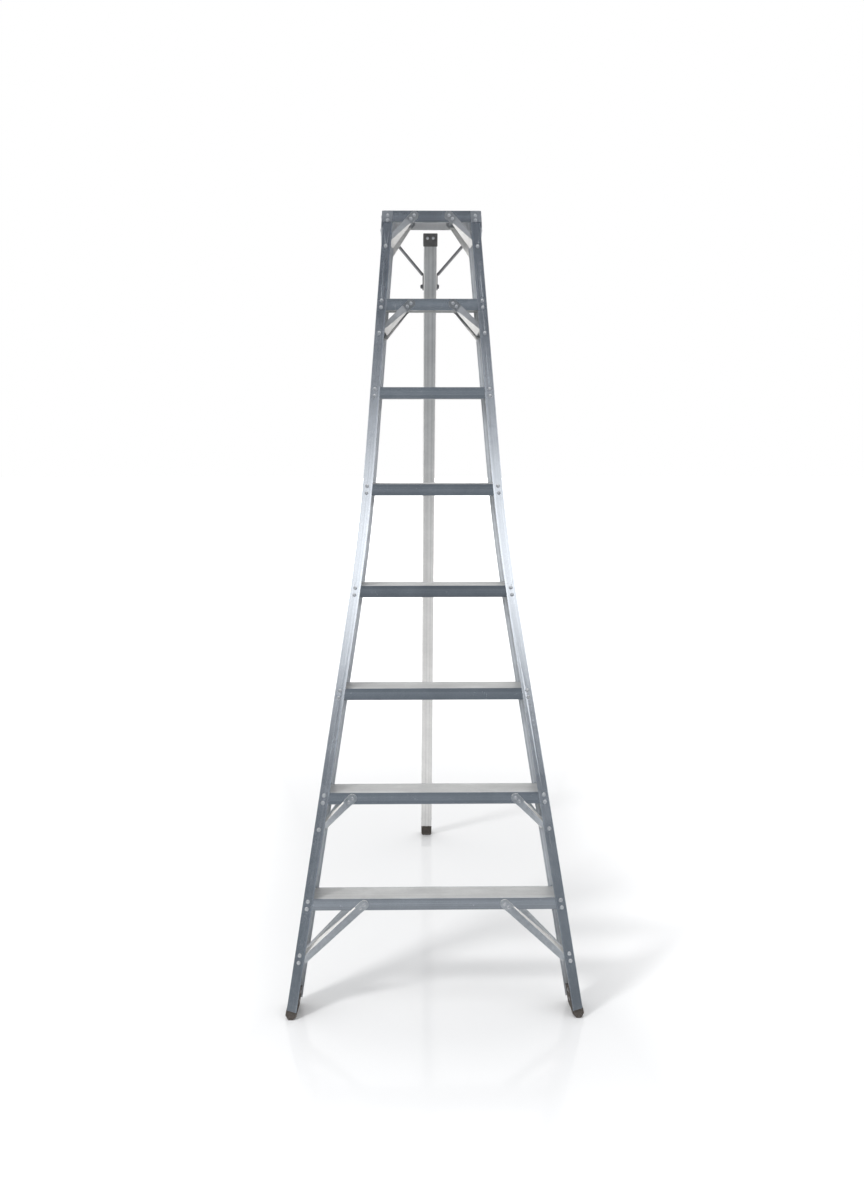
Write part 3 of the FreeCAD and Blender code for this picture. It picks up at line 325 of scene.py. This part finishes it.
def paint_mat():
    k = Mat("pole_cap_dark_grey")
    a = k.noise(k.co, 60.0, 5.0, 0.6)
    b = k.noise(k.co, 700.0, 3.0, 0.6)
    wear = k.ramp(k.noise(k.co, 160.0, 4.0, 0.7), 0.62, 0.74)
    col = k.mix(k.ramp(a, 0.3, 0.7), (0.072, 0.071, 0.071), (0.108, 0.106, 0.104))
    col = k.mix(k.math("MULTIPLY", wear, 0.35), col, (0.16, 0.16, 0.16))
    r = k.ramp(a, 0.2, 0.8, 0.42, 0.58)
    return k.done(col, r, k.bump(b, 0.15, 0.0003), metallic=0.0, **{"Specular IOR Level": 0.5})


M["pole_cap"] = paint_mat()


def rubber_mat():
    k = Mat("shoe_rubber")
    x, y, z = k.xyz()
    a = k.noise(k.co, 45.0, 5.0, 0.65)
    b = k.noise(k.co, 420.0, 4.0, 0.7)
    pits = k.voronoi(k.co, 260.0, "Distance")
    col = k.mix(k.ramp(a, 0.3, 0.72), (0.040, 0.033, 0.028), (0.085, 0.072, 0.062))
    dust = k.math("MULTIPLY", k.ramp(z, 0.0, 0.035, 0.65, 0.12), k.ramp(b, 0.40, 0.66))
    col = k.mix(dust, col, (0.22, 0.20, 0.18))
    r = k.ramp(b, 0.2, 0.8, 0.62, 0.9)
    h = k.math("ADD", b, k.math("MULTIPLY", pits, 0.6))
    return k.done(col, r, k.bump(h, 0.55, 0.0012), metallic=0.0, **{"Specular IOR Level": 0.35})


M["rubber"] = rubber_mat()


def pick(name):
    if name.startswith("tread_rivets") or name in ("brace_rivets", "cap_rivets", "pole_cap_rivets", "pole_shoe_rivet"):
        return "rivet"
    if name.startswith("tread_"):
        return name
    if name == "top_cap":
        return "cap"
    if name.endswith("_rail"):
        return "rail"
    if name.startswith("brace_"):
        return "brace_low_painted_light" if name[6] in "12" else "brace_high_painted_shade"
    if name in ("strut_bolt", "strut_nut", "strut_washers"):
        return "dark_fastener"
    if name.startswith("strut_"):
        return "strut"
    if name in ("hinge_plate_right", "hinge_plate_left"):
        return "plate"
    if name == "pole":
        return "pole"
    if name == "pole_cap":
        return "pole_cap"
    if name.endswith("_shoe"):
        return "rubber"
    if name in ("hinge_caps", "hinge_washers", "stop_pins", "hinge_bushes"):
        return "dark_fastener"
    return "fastener"


BEVEL = {"rail": 0.0009, "cap": 0.0008, "brace_low_painted_light": 0.0007, "brace_high_painted_shade": 0.0007, "plate": 0.0009, "pole": 0.0, "pole_cap": 0.0006, "rubber": 0.0016}
for name, o in N.items():
    key = pick(name)
    m = M[key]
    me = o.data
    if not me.materials:
        me.materials.append(m)
    for i in range(len(o.material_slots)):
        o.material_slots[i].link = "OBJECT"
        o.material_slots[i].material = m
    w = BEVEL.get(key, 0.0006 if key.startswith("tread_") else 0.0)
    if w > 0:
        wd = o.modifiers.new("weld", "WELD")
        wd.merge_threshold = 0.00001
        bv = o.modifiers.new("edge", "BEVEL")
        bv.width = w
        bv.segments = 2
        bv.limit_method = "ANGLE"
        bv.angle_limit = math.radians(38)
        bv.harden_normals = True
        bv.use_clamp_overlap = True

# ------------------------------------------------------------- floor
bpy.ops.mesh.primitive_plane_add(size=60.0, location=(0, 6.0, 0.0))
floor = bpy.context.object
floor.name = "studio_floor"
kf = Mat("studio_floor")
fa = kf.noise(kf.co, 0.9, 3.0)
fcol = kf.mix(fa, (0.846, 0.846, 0.848), (0.856, 0.856, 0.856))
kf.done(fcol, kf.ramp(fa, 0.2, 0.8, 0.085, 0.10), None, metallic=0.0, **{"Specular IOR Level": 0.36})
fx, fy, fz = kf.xyz()
fyw = kf.math("ADD", fy, 6.0)
rad = kf.math("SQRT", kf.math("ADD", kf.math("MULTIPLY", fx, fx), kf.math("MULTIPLY", fyw, fyw)))
kf.put(kf.b.inputs["Emission Color"], (1.0, 1.0, 1.0))
# painted light: the floor glows, more towards the sides and away from the ladder, which lifts the lamps' falloff and
# their cast shadows there
side = kf.ramp(kf.math("ABSOLUTE", fx), 0.42, 0.95, 0.0, 0.24)
painted_floor_glow = kf.math("MAXIMUM", kf.ramp(rad, 0.6, 4.6, 0.0, 0.5), side)
# far from the set the floor runs into the white backdrop; light and reflections are unchanged
flc = kf.n.new("ShaderNodeLightPath")
far = kf.math("MULTIPLY", kf.ramp(rad, 4.5, 10.0, 0.0, 1.0), flc.outputs["Is Camera Ray"])
kf.put(kf.b.inputs["Emission Strength"], kf.math("MAXIMUM", painted_floor_glow, far))
# the studio floor falls off to dark in front of the set; only reflections see that
dk = kf.n.new("ShaderNodeBsdfDiffuse")
dk.inputs["Color"].default_value = (0.190, 0.210, 0.232, 1.0)
flp = kf.n.new("ShaderNodeLightPath")
away = kf.ramp(fy, Y0 + 0.35 - 6.0, Y0 - 1.1 - 6.0)
mx = kf.n.new("ShaderNodeMixShader")
kf.l.new(kf.math("MULTIPLY", away, flp.outputs["Is Glossy Ray"]), mx.inputs[0])
kf.l.new(kf.b.outputs[0], mx.inputs[1])
kf.l.new(dk.outputs[0], mx.inputs[2])
kf.l.new(mx.outputs[0], kf.out.inputs[0])
floor.data.materials.append(kf.m)

# ------------------------------------------------------------- world
w = bpy.data.worlds.new("studio")
bpy.context.scene.world = w
w.use_nodes = True
wt = w.node_tree
wt.nodes.clear()


class W(Mat):
    def __init__(self, tree):
        self.t = tree
        self.n = tree.nodes
        self.l = tree.links


k = W(wt)
tc = wt.nodes.new("ShaderNodeTexCoord")
dx, dy, dz = k.xyz(tc.outputs["Generated"])
el = k.math("MULTIPLY", k.math("ARCSINE", k.math("MAXIMUM", k.math("MINIMUM", dz, 1.0), -1.0)), 180.0 / math.pi)
# softly lit band in front of the ladder, dark studio below and above it
soft = k.math("MULTIPLY", k.ramp(el, 14.2, 18.4), k.ramp(el, 21.3, 26.0, 1.0, 0.0))
front = k.ramp(dy, 0.25, -0.45)
band = k.math("MULTIPLY", soft, front)
over = k.ramp(el, 38.0, 68.0)
back = k.ramp(dy, -0.15, 0.45)
horizon = k.ramp(k.math("ABSOLUTE", k.math("SUBTRACT", el, 1.0)), 3.0, 12.0, 1.0, 0.0)
low = k.mix(horizon, (0.115, 0.132, 0.158), (0.245, 0.272, 0.300))
dark = k.mix(back, low, (0.88, 0.88, 0.88))
lit = k.mix(over, dark, (1.12, 1.12, 1.12))
lit = k.mix(band, lit, (2.35, 2.37, 2.41))
lp = wt.nodes.new("ShaderNodeLightPath")
shown = k.mix(lp.outputs["Is Camera Ray"], lit, (1.0, 1.0, 1.0))
bg = wt.nodes.new("ShaderNodeBackground")
wt.links.new(shown, bg.inputs["Color"])
bg.inputs["Strength"].default_value = 1.0
wo = wt.nodes.new("ShaderNodeOutputWorld")
wt.links.new(bg.outputs[0], wo.inputs[0])


# ------------------------------------------------------------- lights
def area(name, loc, target, sx, sy, watts, color=(1, 1, 1), glossy=True):
    d = bpy.data.lights.new(name, "AREA")
    d.shape = "RECTANGLE"
    d.size, d.size_y = sx, sy
    d.energy = watts
    d.color = color
    o = bpy.data.objects.new(name, d)
    bpy.context.scene.collection.objects.link(o)
    o.location = loc
    o.rotation_euler = (Vector(target) - Vector(loc)).to_track_quat("-Z", "Y").to_euler()
    o.visible_camera = False
    o.visible_glossy = glossy
    return o


area("key_left", (-3.6, Y0 - 3.1, 4.7), (0.1, Y0 + 0.4, 0.6), 1.05, 1.05, 172.0, glossy=False)
area("overhead", (0.0, Y0 + 0.8, 5.2), (0.0, Y0 + 0.5, 0.0), 4.5, 4.5, 38.0, glossy=False)
area("front_fill", (0.0, Y0 - 4.2, 1.5), (0.0, Y0, 0.9), 3.0, 1.6, 16.0, glossy=False)

# ------------------------------------------------------------- camera
cd = bpy.data.cameras.new("camera")
cam = bpy.data.objects.new("camera", cd)
bpy.context.scene.collection.objects.link(cam)
cd.sensor_width = 36.0
cd.sensor_fit = "AUTO"
cd.lens = 36.0 * 1324.03 / 1184.0
cam.location = (-0.07605, Y0 - 3.6248, 1.7077)
cam.rotation_euler = (math.radians(90 - 7.3395), 0.0, -0.0186)
bpy.context.scene.camera = cam
bpy.context.scene.view_settings.view_transform = "Standard"
